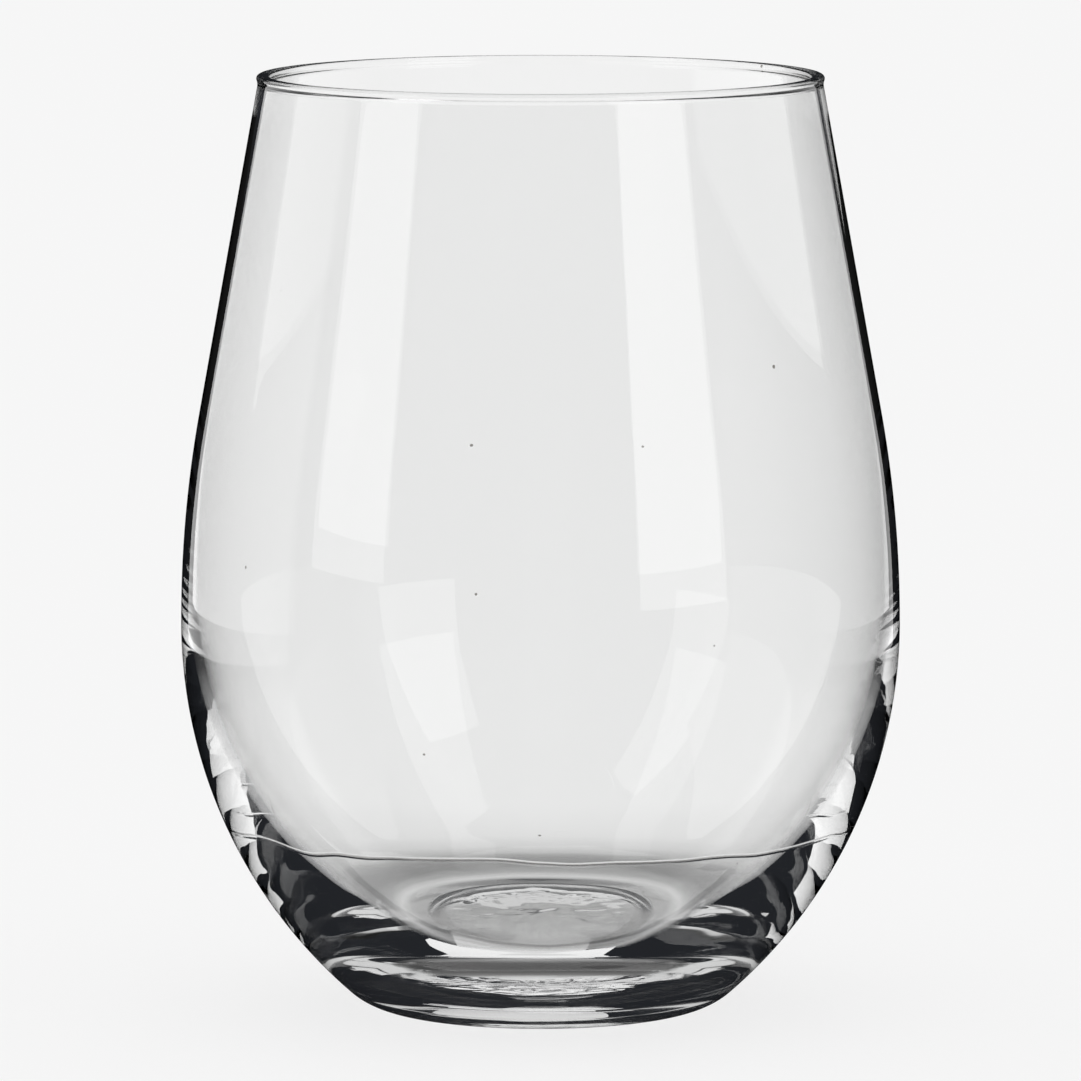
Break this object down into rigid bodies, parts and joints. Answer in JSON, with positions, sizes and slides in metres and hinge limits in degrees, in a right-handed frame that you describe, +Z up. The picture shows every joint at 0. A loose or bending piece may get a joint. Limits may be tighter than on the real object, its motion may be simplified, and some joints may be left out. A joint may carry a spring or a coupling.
{
  "type": "stemless wine glass",
  "caption": "Clear stemless wine glass: tapered bowl with a rounded thin rim, widest low down, thickening to a heavy rounded base it stands on.",
  "frame": {"origin": "middle of the ring the glass stands on, on the table plane", "axes": "+Z up along the axis the glass is turned about, from the base to the rim; X and Y are level and equal"},
  "size_m": [0.092, 0.092, 0.1197],
  "materials": {
    "clear_glass": "clear, fire-polished"
  },
  "bodies": {
    "root": {"glass_body": "clear_glass"}
  },
  "joints": []
}
